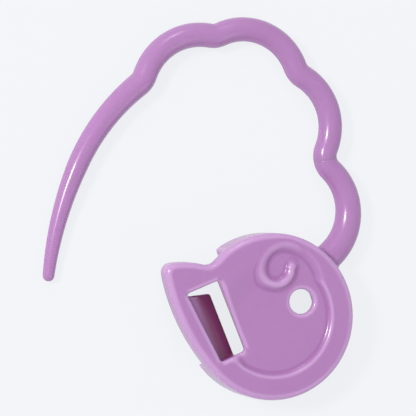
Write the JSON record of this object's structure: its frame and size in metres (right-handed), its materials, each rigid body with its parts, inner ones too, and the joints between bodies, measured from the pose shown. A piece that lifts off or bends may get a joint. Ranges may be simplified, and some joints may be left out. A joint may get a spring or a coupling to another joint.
{
  "type": "locking stitch marker",
  "caption": "Flat animal-head stitch marker with a scalloped spring arm that closes into a catch and locks a loop of yarn.",
  "frame": {"origin": "centre of the round skull, on the flat back of the head", "axes": "+Z out of the face, along the eye; +Y towards the crown of the head, where the arm's loop lies; -X towards the snout"},
  "size_m": [0.0287, 0.0335, 0.0038],
  "materials": {
    "lilac_plastic": "smooth moulded, slightly translucent"
  },
  "bodies": {
    "head": {"head_face": "lilac_plastic", "head_rim": "lilac_plastic", "outer_bar": "lilac_plastic", "catch_ramp": "lilac_plastic"},
    "neck": {"arm_neck": "lilac_plastic"},
    "first_scallop": {"arm_scallop_1": "lilac_plastic"},
    "second_scallop": {"arm_scallop_2": "lilac_plastic"},
    "third_scallop": {"arm_scallop_3": "lilac_plastic"},
    "tail": {"pin_tail": "lilac_plastic"}
  },
  "joints": [
    {"name": "arm_lift", "type": "hinge", "parent": "head", "child": "neck", "pos_m": [0.00614, 0.00555, 0.00125], "axis": [-0.1736, 0.9848, 0], "range_deg": [-3, 5.5], "stiffness_Nm_per_rad": 0.01},
    {"name": "neck_flex", "type": "hinge", "parent": "neck", "child": "first_scallop", "pos_m": [0.00552, 0.01373, 0.00105], "axis": [0, 0, 1], "range_deg": [-0.32, 1.1], "stiffness_Nm_per_rad": 0.0001},
    {"name": "lower_flex", "type": "hinge", "parent": "first_scallop", "child": "second_scallop", "pos_m": [0.003, 0.02146, 0.00105], "axis": [0, 0, 1], "range_deg": [-1.12, 4.81], "stiffness_Nm_per_rad": 0.0001},
    {"name": "arm_close", "type": "hinge", "parent": "second_scallop", "child": "third_scallop", "pos_m": [-0.00463, 0.02455, 0.00105], "axis": [0, 0, 1], "range_deg": [-5.5, 25.5], "stiffness_Nm_per_rad": 0.0001},
    {"name": "tail_flex", "type": "hinge", "parent": "third_scallop", "child": "tail", "pos_m": [-0.01122, 0.02055, 0.00105], "axis": [0, 0, 1], "range_deg": [-3.04, 13.74], "stiffness_Nm_per_rad": 0.0001}
  ],
  "couplings": [
    {"joint": "neck_flex", "follows": "arm_close", "ratio": 0.039216},
    {"joint": "lower_flex", "follows": "arm_close", "ratio": 0.18471},
    {"joint": "tail_flex", "follows": "arm_close", "ratio": 0.5349}
  ]
}
